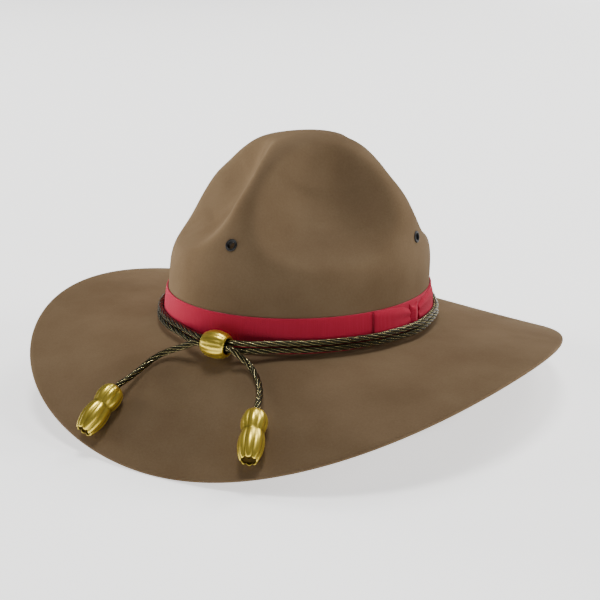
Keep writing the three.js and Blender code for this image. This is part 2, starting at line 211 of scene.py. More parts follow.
def brim_point(share, at):
    """A point on the upper face of the brim: share 0 at the crown and 1 at the edge."""
    share, at = np.broadcast_arrays(np.asarray(share, float), np.asarray(at, float))
    drop = brim_value(BRIM_DROPS, at)
    span = np.sqrt((BRIM_SPAN * brim_value(BRIM_WIDTHS, at)) ** 2 - drop ** 2)
    turn = np.radians(at)
    outwards = np.stack([FOOT_LENGTH * np.sin(turn), -FOOT_WIDTH * np.cos(turn)], axis=-1)
    outwards /= np.linalg.norm(outwards, axis=-1, keepdims=True)
    foot = np.stack([FOOT_WIDTH * np.sin(turn), -FOOT_LENGTH * np.cos(turn)], axis=-1)
    flat = foot + outwards * (span * share)[..., None]
    return np.concatenate([flat, (-drop * share ** BRIM_BEND)[..., None]], axis=-1)


def beside_crown(at, height, out):
    """A point beside the foot of the crown, a distance outwards from the felt."""
    share = share_at_height(height)
    _, length, width = crown_row(share)
    turn = np.radians(at)
    outwards = np.stack([length * np.sin(turn), -width * np.cos(turn), 0 * turn], axis=-1)
    outwards /= np.linalg.norm(outwards, axis=-1, keepdims=True)
    return dome_point(share, at) + outwards * np.asarray(out)[..., None]


print("front edge of the brim:", brim_point(1, 0).round(1))

# %% [markdown]
# ## Two small tools
# Every material and every geometry tree below is made of nodes, so one function adds a node with its
# settings and its links. Colours are written as the hex values that a paint chart would use, and one
# function turns them into the linear numbers that the renderer wants. A pattern's scale is worked out
# from the real size of its grain in millimetres.

# %% Nodes and colours
def add(tree, kind, inputs=None, **settings):
    """Adds a node. A value of inputs is a number, a socket, or a node whose first output is used."""
    node = tree.nodes.new(kind)
    for name, value in settings.items():
        setattr(node, name, value)
    for key, value in (inputs or {}).items():
        if isinstance(value, bpy.types.Node):
            value = value.outputs[0]
        if isinstance(value, bpy.types.NodeSocket):
            tree.links.new(value, node.inputs[key])
        else:
            node.inputs[key].default_value = value
    return node


def colour(code):
    """Turns an sRGB hex colour into linear numbers with alpha."""
    parts = [int(code[k:k + 2], 16) / 255 for k in (1, 3, 5)]
    linear = [c / 12.92 if c <= 0.04045 else ((c + 0.055) / 1.055) ** 2.4 for c in parts]
    return (*linear, 1.0)


def per_metre(millimetres):
    """The scale of a pattern whose grain has this size."""
    return 1000 / millimetres


def new_material(name, **sockets):
    """A material with one principled shader, whose even values are set on its own sockets."""
    material = bpy.data.materials.new(name)
    material.use_nodes = True
    shader = material.node_tree.nodes["Principled BSDF"]
    for socket, value in sockets.items():
        shader.inputs[socket.replace("_", " ")].default_value = value
    return material, material.node_tree, shader


# %% [markdown]
# ## Meshes from grids
# Nearly every piece is a grid of points wrapped round on itself: rings round the crown, sections along
# a ribbon, circles along an axis. One function turns such a grid into faces, and another makes the
# closed mesh. A closed mesh has a signed volume, which is negative when its faces point inwards, so
# the function measures it and turns the faces if it has to.

# %% Mesh tools
def grid_faces(rows, columns, round_rows=False):
    """Faces between rows of points that each close on themselves."""
    count = rows if round_rows else rows - 1
    faces = []
    for i in range(count):
        here, there = i * columns, ((i + 1) % rows) * columns
        for j in range(columns):
            k = (j + 1) % columns
            faces.append((here + j, here + k, there + k, there + j))
    return faces


def closed_mesh(name, points, faces, attributes=None):
    """An object at the origin with a closed, smooth mesh. Points are in metres."""
    mesh = bpy.data.meshes.new(name)
    mesh.from_pydata(np.asarray(points).tolist(), [], faces)
    for label, values in (attributes or {}).items():
        mesh.attributes.new(label, "FLOAT", "POINT").data.foreach_set("value", np.ravel(values))
    mesh.calc_loop_triangles()
    corners = np.array([triangle.vertices[:] for triangle in mesh.loop_triangles])
    a, b, c = (np.asarray(points)[corners[:, k]] for k in range(3))
    if np.einsum("ij,ij->i", a, np.cross(b, c)).sum() < 0:
        mesh.flip_normals()
    mesh.shade_smooth()
    piece = bpy.data.objects.new(name, mesh)
    bpy.context.collection.objects.link(piece)
    return piece


def new_tree(name, sizes):
    """A geometry tree with named inputs, and its input and output nodes."""
    kinds = {float: "NodeSocketFloat", int: "NodeSocketInt", tuple: "NodeSocketVector"}
    tree = bpy.data.node_groups.new(name, "GeometryNodeTree")
    tree.interface.new_socket("Geometry", in_out="INPUT", socket_type="NodeSocketGeometry")
    for label, value in sizes.items():
        kind = kinds.get(type(value), "NodeSocketMaterial")
        tree.interface.new_socket(label, in_out="INPUT", socket_type=kind)
    tree.interface.new_socket("Geometry", in_out="OUTPUT", socket_type="NodeSocketGeometry")
    return tree, add(tree, "NodeGroupInput").outputs, add(tree, "NodeGroupOutput")


def moved_and_finished(tree, given, result, offset):
    """Ends a tree: the points move by the offset, and the geometry becomes real and gets its finish."""
    moved = add(tree, "GeometryNodeSetPosition", {"Geometry": given["Geometry"], "Offset": offset})
    real = add(tree, "GeometryNodeRealizeInstances", {"Geometry": moved})
    finish = add(tree, "GeometryNodeSetMaterial", {"Geometry": real, "Material": given["Finish"]})
    tree.links.new(finish.outputs[0], result.inputs[0])


def grown(name, source, tree, sizes):
    """Runs a geometry tree on an object and keeps the result as a plain mesh."""
    modifier = source.modifiers.new("grow", "NODES")
    modifier.node_group = tree
    for item in tree.interface.items_tree:
        if item.in_out == "INPUT" and item.name in sizes:
            modifier[item.identifier] = sizes[item.name]
    graph = bpy.context.evaluated_depsgraph_get()
    mesh = bpy.data.meshes.new_from_object(source.evaluated_get(graph), depsgraph=graph)
    bpy.data.objects.remove(source)
    mesh.name = name
    piece = bpy.data.objects.new(name, mesh)
    bpy.context.collection.objects.link(piece)
    return piece


def finished(piece, node, material=None):
    """Puts a finished piece in the place of its solid."""
    if material:
        piece.data.materials.clear()
        piece.data.materials.append(material)
    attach(piece, "root")
    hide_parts(node)
    print(piece.name, len(piece.data.polygons), "faces")


# %% [markdown]
# ## The route of the cord
# The hat cord runs through a slide at the front, twice round the crown, and out again as two free
# ends. Its route is a list of points with a smooth line through them: three strands that wind round
# each other in the slide, two level turns that follow the ribbon and climb over the bow, and two tails
# whose points were chosen so that they lie on the brim.

# %% Route of the cord
GAP = 0.3
RIBBON = 1.0
RIBBON_FOOT = 1.8
RIBBON_TOP = 24.3
BOW_AT = 87.5
WING_AWAY = 24
KNOT_AWAY = 3.2
KNOT_THICKNESS = 2.2
CORD = 4
TURN_HEIGHT = 7.3
TURN_PITCH = 4.3
SLIDE_LENGTH = 17
SLIDE_RADIUS = 8.6
SLIDE_MIDDLE = np.array([4.5, -(FOOT_LENGTH + 2 * GAP + RIBBON + SLIDE_RADIUS), TURN_HEIGHT])
STRAND_RING = 2.6
STRAND_TWIST = 120
STRAND_OUT = 0.2
STRAND_POINTS = 5
EASE = 18
EASE_START = -2
TURN_FREE = 4
TURN_MOUTH_OUT = 0.4
TURN_POINTS = 44
OVER_BOW_MARGIN = 2
OVER_BOW_EASE = 6
LINE_STEPS = 24
TAIL_RIGHT = [
    (-4.9, -116.8, 7.3), (-9.5, -116.9, 6.9), (-14.5, -116.7, 4.6), (-20, -116.3, 1.9),
    (-25.4, -116.4, -0.5), (-30.8, -117.2, -3), (-35.3, -119.4, -5.7), (-38.6, -122.8, -8.4),
    (-41, -127.9, -11.5), (-42.6, -133.8, -14.4), (-44, -139.3, -16.6), (-45.4, -143.9, -18.2),
    (-46.5, -147.8, -19.9), (-47.4, -152.3, -23.4),
]
TAIL_LEFT = [
    (13.7, -116.8, 7.3), (17.3, -116.7, 6.8), (20.6, -115.9, 4.3), (24, -114.9, 1.7),
    (27.8, -114.7, -0.9), (32, -116.1, -3.8), (36.1, -118.7, -6.4), (39.9, -122.2, -8.6),
    (43.7, -126.8, -10.9), (47.1, -132.3, -12.9), (49.5, -138, -14.5), (51.4, -143, -16.9),
    (53.3, -147.8, -20.5),
]


def smoothstep(x, low, high):
    """A soft step that rises from 0 at low to 1 at high."""
    f = np.clip((x - low) / (high - low), 0, 1)
    return f * f * (3 - 2 * f)


def cord_standoff(at):
    """How far the middle of the cord lies from the felt, over the ribbon, the bow and the knot."""
    away_from_bow = np.abs((at - BOW_AT + 180) % 360 - 180)
    wings, knot = (
        1 - smoothstep(away_from_bow, reach + OVER_BOW_MARGIN, reach + OVER_BOW_MARGIN + OVER_BOW_EASE)
        for reach in (WING_AWAY, KNOT_AWAY)
    )
    return 2 * GAP + RIBBON + CORD / 2 + (GAP + RIBBON) * wings + (KNOT_THICKNESS - RIBBON) * knot


def slide_strand(start_angle):
    """One of the three strands in the slide."""
    f = np.linspace(0, 1, STRAND_POINTS)
    angle = np.radians(start_angle - STRAND_TWIST * smoothstep(f, 0, 1))
    x = (f - 0.5) * (SLIDE_LENGTH + 2 * STRAND_OUT)
    return SLIDE_MIDDLE + np.stack([x, -STRAND_RING * np.cos(angle), STRAND_RING * np.sin(angle)], axis=-1)


def cord_turn(level):
    """One turn round the crown, from the slide's left mouth round the rear to its right mouth."""
    _, length, width = crown_row(share_at_height(TURN_HEIGHT))
    half = SLIDE_LENGTH / 2 + TURN_FREE
    reach = width + GAP + RIBBON + CORD / 2
    start = math.degrees(math.asin((SLIDE_MIDDLE[0] + half) / reach))
    end = 360 + math.degrees(math.asin((SLIDE_MIDDLE[0] - half) / reach))
    at = np.linspace(start, end, TURN_POINTS + 1)
    far = smoothstep(np.minimum(at - start, end - at), EASE_START, EASE)
    out = -SLIDE_MIDDLE[1] - length - STRAND_RING / 2 + TURN_MOUTH_OUT
    height = np.full_like(at, TURN_HEIGHT + level * TURN_PITCH / 2)
    return beside_crown(at, height, out + (cord_standoff(at) - out) * far)


def smooth_line(points, step):
    """A centripetal Catmull-Rom line through the points, cut into equal steps."""
    p = np.asarray(points, float)
    p = np.vstack([2 * p[0] - p[1], p, 2 * p[-1] - p[-2]])
    knots = np.concatenate([[0], np.cumsum(np.sqrt(np.linalg.norm(np.diff(p, axis=0), axis=1)))])
    fine = []
    for k in range(1, len(p) - 2):
        a, b, c, d = p[k - 1:k + 3]
        ta, tb, tc, td = knots[k - 1:k + 3]
        t = np.linspace(tb, tc, LINE_STEPS, endpoint=False)[:, None]
        ab = ((tb - t) * a + (t - ta) * b) / (tb - ta)
        bc = ((tc - t) * b + (t - tb) * c) / (tc - tb)
        cd = ((td - t) * c + (t - tc) * d) / (td - tc)
        abc = ((tc - t) * ab + (t - ta) * bc) / (tc - ta)
        bcd = ((td - t) * bc + (t - tb) * cd) / (td - tb)
        fine.append(((tc - t) * abc + (t - tb) * bcd) / (tc - tb))
    fine = np.vstack([*fine, p[-2]])
    run = np.concatenate([[0], np.cumsum(np.linalg.norm(np.diff(fine, axis=0), axis=1))])
    even = np.linspace(0, run[-1], round(run[-1] / step) + 1)
    return np.stack([np.interp(even, run, fine[:, axis]) for axis in range(3)], axis=1)


CORD_STEP = 1.0
turns_points = np.vstack([
    slide_strand(0),
    cord_turn(-1),
    slide_strand(-STRAND_TWIST),
    cord_turn(1),
    slide_strand(STRAND_TWIST),
])
routes = {
    "turns": smooth_line(turns_points, CORD_STEP),
    "tail_right": smooth_line(TAIL_RIGHT, CORD_STEP),
    "tail_left": smooth_line(TAIL_LEFT, CORD_STEP),
}

# %% [markdown]
# ## Materials of the cord
# The dark yarn is rayon, which is spun from smooth threads and shines softly. Between its plies runs
# metal thread: a flat gilt wire wound round a core, pale where it catches the light. The windings are
# finer than the picture can show, so their bump is drawn at one millimetre.

# %% Yarn and metal thread
PLY_WINDING = 1.0


def ply_material(name, base, **sockets):
    """A ply whose windings show as fine rings along it."""
    material, tree, shader = new_material(name, Base_Color=colour(base), **sockets)
    along = add(tree, "ShaderNodeAttribute", attribute_name="along").outputs["Fac"]
    turns = add(tree, "ShaderNodeMath", {0: along, 1: 2 * math.pi / PLY_WINDING}, operation="MULTIPLY")
    wave = add(tree, "ShaderNodeMath", {0: turns}, operation="SINE")
    bump = add(tree, "ShaderNodeBump", {"Height": wave, "Strength": 0.1, "Distance": 0.1 * MM})
    tree.links.new(bump.outputs[0], shader.inputs["Normal"])
    return material


yarn = ply_material(
    "glazed dark rayon yarn", "#0B0C08", Roughness=0.3, Specular_IOR_Level=0.4,
    Specular_Tint=colour("#E8DDA8"),
)
metal_thread = ply_material("gilt metal thread", "#F2E2A0", Roughness=0.26, Metallic=1.0)

# %% [markdown]
# ## Twisting the cord
# A cord is plies that wind round each other. Geometry Nodes are made for that: the route is copied
# once for each ply, every copy is pushed off the middle by an angle that grows along the route, and a
# small circle is swept along it. Dark and metal plies take turns.

# %% Twisted cord
CORD_SIZES = {
    "Plies": 5,
    "Lay": 34 * MM,
    "Yarn ring": 1.22 * MM,
    "Yarn radius": 0.78 * MM,
    "Yarn phase": 0.0,
    "Yarn": yarn,
    "Metal ring": 1.66 * MM,
    "Metal radius": 0.13 * MM,
    "Metal phase": 0.1,
    "Metal": metal_thread,
    "Sides": 7,
}


def twisted_cord_tree():
    """Sweeps two sets of plies along a line, one set between the other."""
    tree, given, result = new_tree("twisted cord", CORD_SIZES)
    line = add(tree, "GeometryNodeMeshToCurve", {"Mesh": given["Geometry"]})
    line = add(tree, "GeometryNodeSetCurveRadius", {"Curve": line, "Radius": 1.0})
    length = add(tree, "GeometryNodeSplineParameter").outputs["Length"]
    turns = add(tree, "ShaderNodeMath", {0: length, 1: given["Lay"]}, operation="DIVIDE")
    normal = add(tree, "GeometryNodeInputNormal")
    tangent = add(tree, "GeometryNodeInputTangent")
    side = add(tree, "ShaderNodeVectorMath", {0: tangent, 1: normal}, operation="CROSS_PRODUCT")
    strands = add(tree, "GeometryNodeJoinGeometry")
    for kind in ("Yarn", "Metal"):
        copies = add(
            tree, "GeometryNodeDuplicateElements",
            {"Geometry": line, "Amount": given["Plies"]}, domain="SPLINE",
        )
        copy = copies.outputs["Duplicate Index"]
        share = add(tree, "ShaderNodeMath", {0: copy, 1: given["Plies"]}, operation="DIVIDE")
        turned = add(tree, "ShaderNodeMath", {0: turns, 1: share}, operation="ADD")
        phased = add(tree, "ShaderNodeMath", {0: turned, 1: given[f"{kind} phase"]}, operation="ADD")
        angle = add(tree, "ShaderNodeMath", {0: phased, 1: 2 * math.pi}, operation="MULTIPLY")
        cosine = add(tree, "ShaderNodeMath", {0: angle}, operation="COSINE")
        sine = add(tree, "ShaderNodeMath", {0: angle}, operation="SINE")
        up = add(tree, "ShaderNodeVectorMath", {0: normal, "Scale": cosine}, operation="SCALE")
        out = add(tree, "ShaderNodeVectorMath", {0: side, "Scale": sine}, operation="SCALE")
        both = add(tree, "ShaderNodeVectorMath", {0: up, 1: out}, operation="ADD")
        offset = add(
            tree, "ShaderNodeVectorMath", {0: both, "Scale": given[f"{kind} ring"]}, operation="SCALE"
        )
        wound = add(tree, "GeometryNodeSetPosition", {"Geometry": copies, "Offset": offset})
        circle = add(
            tree, "GeometryNodeCurvePrimitiveCircle",
            {"Resolution": given["Sides"], "Radius": given[f"{kind} radius"]},
        )
        swept = add(
            tree, "GeometryNodeCurveToMesh",
            {"Curve": wound, "Profile Curve": circle, "Fill Caps": True},
        )
        smooth = add(tree, "GeometryNodeSetShadeSmooth", {"Geometry": swept})
        finish = add(tree, "GeometryNodeSetMaterial", {"Geometry": smooth, "Material": given[kind]})
        tree.links.new(finish.outputs[0], strands.inputs[0])
    real = add(tree, "GeometryNodeRealizeInstances", {"Geometry": strands})
    tree.links.new(real.outputs[0], result.inputs[0])
    return tree


def line_object(name, points):
    """A line of edges through points in metres, which carries the distance along it in mm."""
    mesh = bpy.data.meshes.new(name)
    mesh.from_pydata(points.tolist(), [(k, k + 1) for k in range(len(points) - 1)], [])
    run = np.concatenate([[0], np.cumsum(np.linalg.norm(np.diff(points, axis=0), axis=1))])
    mesh.attributes.new("along", "FLOAT", "POINT").data.foreach_set("value", run / MM)
    line = bpy.data.objects.new(name, mesh)
    bpy.context.collection.objects.link(line)
    return line


cord_tree = twisted_cord_tree()
cords = {}
for name, route in routes.items():
    cords[name] = grown(f"hat_cord_{name}", line_object(name, seat(route)), cord_tree, CORD_SIZES)
    finished(cords[name], f"cord_{name}")

# %% [markdown]
# ## Gilt fittings
# The slide and the acorns are stamped from thin brass and gilded. A polished metal is nearly all
# reflection, so its look comes from the shape: soft lengthwise flutes that each catch the light once.
# The hollows between them and the insides of the openings are painted darker, as shade, with a faint
# random cloud of grime over all. The turned profile comes from a short table, and one geometry tree
# presses the flutes into it.

# %% Gilt brass
SPOT = 1.5


def gilt_material():
    """Gilded brass, satin on the swells, with painted shade in the hollows and a faint random grime."""
    material, tree, shader = new_material("gilded stamped brass", Metallic=0.92)
    painted_shade = add(tree, "ShaderNodeAttribute", attribute_name="painted_shade").outputs["Fac"]
    place = add(tree, "ShaderNodeTexCoord").outputs["Object"]
    dirt = add(tree, "ShaderNodeTexNoise", {"Vector": place, "Scale": per_metre(SPOT), "Detail": 3.0})
    grime = add(tree, "ShaderNodeMath", {0: dirt, 1: 0.2}, operation="MULTIPLY")
    # The colour darkens with the painted shade of the hollows and with a faint random grime.
    dark = add(tree, "ShaderNodeMath", {0: painted_shade, 1: grime}, operation="ADD", use_clamp=True)
    tone = add(
        tree, "ShaderNodeMix", {0: dark, 6: colour("#FFE25C"), 7: colour("#3A2C0A")}, data_type="RGBA"
    )
    tree.links.new(tone.outputs[2], shader.inputs["Base Color"])
    rough = add(tree, "ShaderNodeMapRange", {"Value": dark, "To Min": 0.3, "To Max": 0.5})
    tree.links.new(rough.outputs[0], shader.inputs["Roughness"])
    bump = add(tree, "ShaderNodeBump", {"Height": dirt, "Strength": 0.06, "Distance": 0.1 * MM})
    tree.links.new(bump.outputs[0], shader.inputs["Normal"])
    return material


def turned_grid(profile, origin, axis, segments):
    """Points of a profile of radius and distance, turned round an axis in the hat's own axes."""
    axis = np.asarray(axis, float) / np.linalg.norm(axis)
    side = np.cross(axis, (0, 0, 1))
    side /= np.linalg.norm(side)
    third = np.cross(axis, side)
    turn = np.linspace(0, 2 * math.pi, segments, endpoint=False)
    ring = np.cos(turn)[:, None] * side + np.sin(turn)[:, None] * third
    radius, along = np.asarray(profile, float).T
    points = origin + along[:, None, None] * axis + radius[:, None, None] * ring
    return points, np.broadcast_to(turn, points.shape[:2])


gilt = gilt_material()
FLUTE_SIZES = {
    "Flutes": 8.0,
    "Depth": 0.5 * MM,
    "Tooth": 0.0,
    "Axis": (0.0, 0.0, 1.0),
    "Finish": gilt,
}
# How much painted shade darkens the grooves between the flutes.
GROOVE_SHADE = 0.45
GILT_SIDES = 96


def flute_tree():
    """Presses flutes into a turned body and cuts its rim into teeth, one for each flute."""
    tree, given, result = new_tree("flutes", FLUTE_SIZES)
    turn, swell, rim = (
        add(tree, "GeometryNodeInputNamedAttribute", {"Name": label}, data_type="FLOAT")
        for label in ("turn", "swell", "rim")
    )
    half_flutes = add(tree, "ShaderNodeMath", {0: given["Flutes"], 1: 0.5}, operation="MULTIPLY")
    angle = add(tree, "ShaderNodeMath", {0: turn, 1: half_flutes}, operation="MULTIPLY")
    wave = add(tree, "ShaderNodeMath", {0: angle}, operation="COSINE")
    bulge = add(tree, "ShaderNodeMath", {0: wave}, operation="ABSOLUTE")
    groove = add(tree, "ShaderNodeMath", {0: bulge, 1: 1.0}, operation="SUBTRACT")
    shaped = add(tree, "ShaderNodeMath", {0: groove, 1: swell}, operation="MULTIPLY")
    depth = add(tree, "ShaderNodeMath", {0: shaped, 1: given["Depth"]}, operation="MULTIPLY")
    normal = add(tree, "GeometryNodeInputNormal")
    inwards = add(tree, "ShaderNodeVectorMath", {0: normal, "Scale": depth}, operation="SCALE")
    notch = add(tree, "ShaderNodeMath", {0: groove, 1: rim}, operation="MULTIPLY")
    cut = add(tree, "ShaderNodeMath", {0: notch, 1: given["Tooth"]}, operation="MULTIPLY")
    back = add(tree, "ShaderNodeVectorMath", {0: given["Axis"], "Scale": cut}, operation="SCALE")
    offset = add(tree, "ShaderNodeVectorMath", {0: inwards, 1: back}, operation="ADD")
    moved_and_finished(tree, given, result, offset)
    return tree


pressed_flutes = flute_tree()


def fluted_piece(name, profile, origin, axis, flutes, depth, tooth):
    """A turned and fluted fitting. Profile rows are radius, distance, swell, rim and painted shade."""
    profile = np.asarray(profile, float)
    points, turn = turned_grid(profile[:, :2], origin, axis, GILT_SIDES)
    swell, rim, painted_shade = (np.repeat(profile[:, k], GILT_SIDES) for k in (2, 3, 4))
    groove = 1 - np.abs(np.cos(flutes / 2 * turn.ravel()))
    # Painted shade: the grooves between the flutes are darkened, most where the flutes swell.
    painted_shade = np.clip(painted_shade + GROOVE_SHADE * groove ** 2 * swell, 0, 1)
    body = closed_mesh(
        name + "_turned",
        seat(points.reshape(-1, 3)),
        grid_faces(len(profile), GILT_SIDES, round_rows=True),
        {"turn": turn, "swell": swell, "rim": rim, "painted_shade": painted_shade},
    )
    seated_axis = seat(axis) - seat([0, 0, 0])
    sizes = FLUTE_SIZES | {
        "Flutes": float(flutes),
        "Depth": depth * MM,
        "Tooth": tooth * MM,
        "Axis": tuple(seated_axis / np.linalg.norm(seated_axis)),
    }
    return grown(name, body, pressed_flutes, sizes)


# %% [markdown]
# ## The slide
# The slide is a small barrel on its side that grips three strands of cord. Its mouths are rolled
# inwards, and shallow flutes run from one to the other, fading out before the rolled rims. Inside the
# mouths, and where the rolled rims meet the barrel, it is painted darker as shade.

# %% Slide
SLIDE_PROFILE = [
    # radius, distance, swell, rim, painted shade
    (5.0, -7.0, 0, 0, 0.8),
    (5.0, -7.9, 0, 0, 0.6),
    (5.3, -8.35, 0, 0, 0.2),
    (5.8, -8.5, 0, 0, 0),
    (6.4, -8.4, 0, 0, 0),
    (6.85, -8.0, 0, 0, 0),
    (7.05, -7.5, 0.2, 0, 0.3),
    (7.5, -6.8, 0.7, 0, 0),
    (8.15, -5.5, 1, 0, 0),
    (8.6, -3.8, 1, 0, 0),
    (8.9, -1.9, 1, 0, 0),
    (9.0, 0, 1, 0, 0),
]
other_half = [(radius, -along, *rest) for radius, along, *rest in SLIDE_PROFILE[-2::-1]]
slide = fluted_piece(
    "gilt_slide", SLIDE_PROFILE + other_half, SLIDE_MIDDLE, (1, 0, 0), flutes=14, depth=0.3, tooth=0
)
finished(slide, "cord_slide")

# %% [markdown]
# ## The acorns
# Each free end is capped by an acorn: a rounded cap above, a waist, and a nut below whose shell ends
# in a ring of teeth round an opening. The inside of that opening, the socket where the cord goes in
# and the waist are painted dark, as shade. Eight swells run down both lobes.

# %% Acorns
ACORN_LENGTH = 35
ACORN_PROFILE = [
    # radius, distance from the cord's end, swell, rim, painted shade
    (0.0, 5.5, 0, 0, 1),
    (2.35, 5.5, 0, 0, 1),
    (2.35, 1.0, 0, 0, 1),
    (2.7, 0.25, 0, 0, 0.6),
    (3.5, 0.0, 0, 0, 0),
    (4.6, 0.3, 0.1, 0, 0),
    (5.9, 1.3, 0.5, 0, 0),
    (6.95, 2.8, 0.8, 0, 0),
    (7.6, 4.6, 1, 0, 0),
    (8.0, 6.7, 1, 0, 0),
    (8.1, 8.8, 1, 0, 0),
    (7.9, 10.9, 1, 0, 0),
    (7.5, 12.6, 0.8, 0, 0),
    (7.05, 14.0, 0.4, 0, 0.2),
    (6.8, 14.9, 0.2, 0, 0.5),
    (6.85, 15.6, 0.3, 0, 0.3),
    (7.15, 16.6, 0.7, 0, 0),
    (7.6, 18.4, 1, 0, 0),
    (7.95, 20.7, 1, 0, 0),
    (8.1, 23.2, 1, 0, 0),
    (7.95, 26.0, 1, 0, 0),
    (7.5, 28.6, 1, 0.05, 0),
    (6.9, 31.0, 1, 0.2, 0),
    (6.2, 32.8, 0.8, 0.5, 0),
    (5.5, 34.2, 0.7, 0.9, 0),
    (5.0, 34.9, 0.6, 1, 0.1),
    (4.6, 34.9, 0.4, 1, 0.4),
    (4.3, 34.2, 0.2, 0.9, 1),
    (4.2, 33.0, 0, 0.5, 1),
    (3.0, 32.5, 0, 0, 1),
    (0.0, 32.5, 0, 0, 1),
]
ACORN_ROWS = {
    "acorn_right": ((-49.5, -162.6, -31.6), (-0.155, -0.773, -0.615)),
    "acorn_left": ((57.5, -157.8, -28.05), (0.318, -0.755, -0.575)),
}
acorns = {}
for name, (middle, along) in ACORN_ROWS.items():
    unit = np.array(along) / np.linalg.norm(along)
    origin = np.array(middle) - unit * ACORN_LENGTH / 2
    acorns[name] = fluted_piece(
        "gilt_" + name, ACORN_PROFILE, origin, unit, flutes=8, depth=0.8, tooth=0.8
    )
    finished(acorns[name], name)

# %% [markdown]
# ## The free ends
# The two tails are free cord. Each leaves the slide at one of its mouths and ends in its acorn, so
# its real length is the length of its line.

# %% [markdown]
# ## The felt
# Fur felt is matted from very fine hair and pounced smooth, so it has no weave: only a faint cloud of
# lighter and darker brown, a fine grain, and a soft bloom where the nap stands against the light. That
# bloom is what the sheen of the shader gives. The hair is far finer than the picture can show, so the
# grain is drawn at about one millimetre.

# %% Fur felt
CLOUD = 38
GRAIN = 1.4
NAP = 0.9


def felt_material():
    """Pounced fur felt."""
    material, tree, shader = new_material(
        "pounced fur felt", Roughness=0.92, Sheen_Weight=0.05, Sheen_Roughness=0.45,
        Sheen_Tint=colour("#B89C7C"), Specular_IOR_Level=0.1,
    )
    place = add(tree, "ShaderNodeTexCoord").outputs["Object"]
    cloud = add(tree, "ShaderNodeTexNoise", {"Vector": place, "Scale": per_metre(CLOUD), "Detail": 3.0})
    grain = add(
        tree, "ShaderNodeTexNoise",
        {"Vector": place, "Scale": per_metre(GRAIN), "Detail": 4.0, "Roughness": 0.65},
    )
    weight = add(tree, "ShaderNodeMath", {0: grain, 1: 0.45}, operation="MULTIPLY")
    both = add(tree, "ShaderNodeMath", {0: cloud, 1: weight}, operation="ADD")
    spread = add(
        tree, "ShaderNodeMapRange", {"Value": both, "From Min": 0.5, "From Max": 0.95}
    )
    tone = add(
        tree, "ShaderNodeMix",
        {0: spread, 6: colour("#5F4D38"), 7: colour("#6B5943")}, data_type="RGBA",
    )
    tree.links.new(tone.outputs[2], shader.inputs["Base Color"])
    fine = add(
        tree, "ShaderNodeTexNoise",
        {"Vector": place, "Scale": per_metre(NAP), "Detail": 3.0, "Roughness": 0.7},
    )
    bump = add(tree, "ShaderNodeBump", {"Height": fine, "Strength": 0.3, "Distance": 0.25 * MM})
    tree.links.new(bump.outputs[0], shader.inputs["Normal"])
    return material


# %% [markdown]
# ## Crown and brim in one piece
# The formulas are read on a fine grid. Rings run from the edge of the brim to the crown, round the
# soft break and up to the top. The inside is the outside moved inwards by the thickness of the felt,
# along each point's normal, and the raw edge is rounded by a few rings between the two. Where the brim
# meets the floor, the felt is pressed flat.

# %% Felt body
FELT = 2.4
BREAK = 1.6
COLUMNS = 256
BRIM_RINGS = 44
CROWN_RINGS = 96
EDGE_RINGS = 5
EDGE_ROUND = 0.35
LAST_RING = 0.985
around = np.linspace(0, 360, COLUMNS, endpoint=False)


def felt_outside():
    """Rings of points from the edge of the brim up to the top, and the top itself."""
    first = BREAK / (BRIM_SPAN * BRIM_WIDTHS[2])
    edge = 1 - EDGE_ROUND * FELT / BRIM_WIDTHS[2]
    brim = brim_point(np.linspace(edge, first, BRIM_RINGS)[:, None], around)
    low = share_at_height(BREAK)
    crown = crown_point(np.linspace(low, LAST_RING, CROWN_RINGS)[:, None], around)
    corner = brim_point(0, around)
    f = np.array([0.25, 0.5, 0.75])[:, None, None]
    fillet = (1 - f) ** 2 * brim[-1] + 2 * f * (1 - f) * corner + f ** 2 * crown[0]
    return np.vstack([brim, fillet, crown]), crown_point(1.0, 0.0)


def vertex_normals(points, faces):
    """Normals of the points of an open sheet, weighted by area."""
    faces = np.array(faces)
    a, b, c = (points[faces[:, k]] for k in range(3))
    crossed = np.cross(b - a, c - a)
    normals = np.zeros_like(points)
    for k in range(faces.shape[1]):
        np.add.at(normals, faces[:, k], crossed)
    return normals / np.linalg.norm(normals, axis=1, keepdims=True)


def felt_mesh():
    """The whole felt as one closed mesh."""
    rings, top = felt_outside()
    rows = len(rings)
    outside = np.vstack([rings.reshape(-1, 3), top])
    quads = grid_faces(rows, COLUMNS)
    last = (rows - 1) * COLUMNS
    cap = [(last + j, last + (j + 1) % COLUMNS, len(outside) - 1) for j in range(COLUMNS)]
    triangles = [(a, b, c) for a, b, c, d in quads] + [(a, c, d) for a, b, c, d in quads] + cap
    inside = outside - FELT * vertex_normals(outside, triangles)
    start = len(outside)
    inner = [tuple(start + k for k in reversed(face)) for face in quads + cap]
    middle = (outside[:COLUMNS] + inside[:COLUMNS]) / 2
    half = outside[:COLUMNS] - middle
    outwards = outside[:COLUMNS] - outside[COLUMNS:2 * COLUMNS]
    outwards /= np.linalg.norm(outwards, axis=1, keepdims=True)
    turn = np.linspace(0, math.pi, EDGE_RINGS + 2)[1:-1, None, None]
    edge = middle + half * np.cos(turn) + outwards * EDGE_ROUND * FELT * np.sin(turn)
    edge_start = 2 * start
    faces = quads + cap + inner
    chain = [0, *range(edge_start, edge_start + EDGE_RINGS * COLUMNS, COLUMNS), start]
    for here, there in zip(chain[:-1], chain[1:]):
        for j in range(COLUMNS):
            k = (j + 1) % COLUMNS
            faces.append((here + k, here + j, there + j, there + k))
    points = seat(np.vstack([outside, inside, edge.reshape(-1, 3)]))
    points[:, 2] = np.maximum(points[:, 2], 0)
    return closed_mesh("felt_crown_and_brim", points, faces)


felt = felt_mesh()
felt.data.materials.append(felt_material())
print("felt:", len(felt.data.polygons), "faces before the vents")

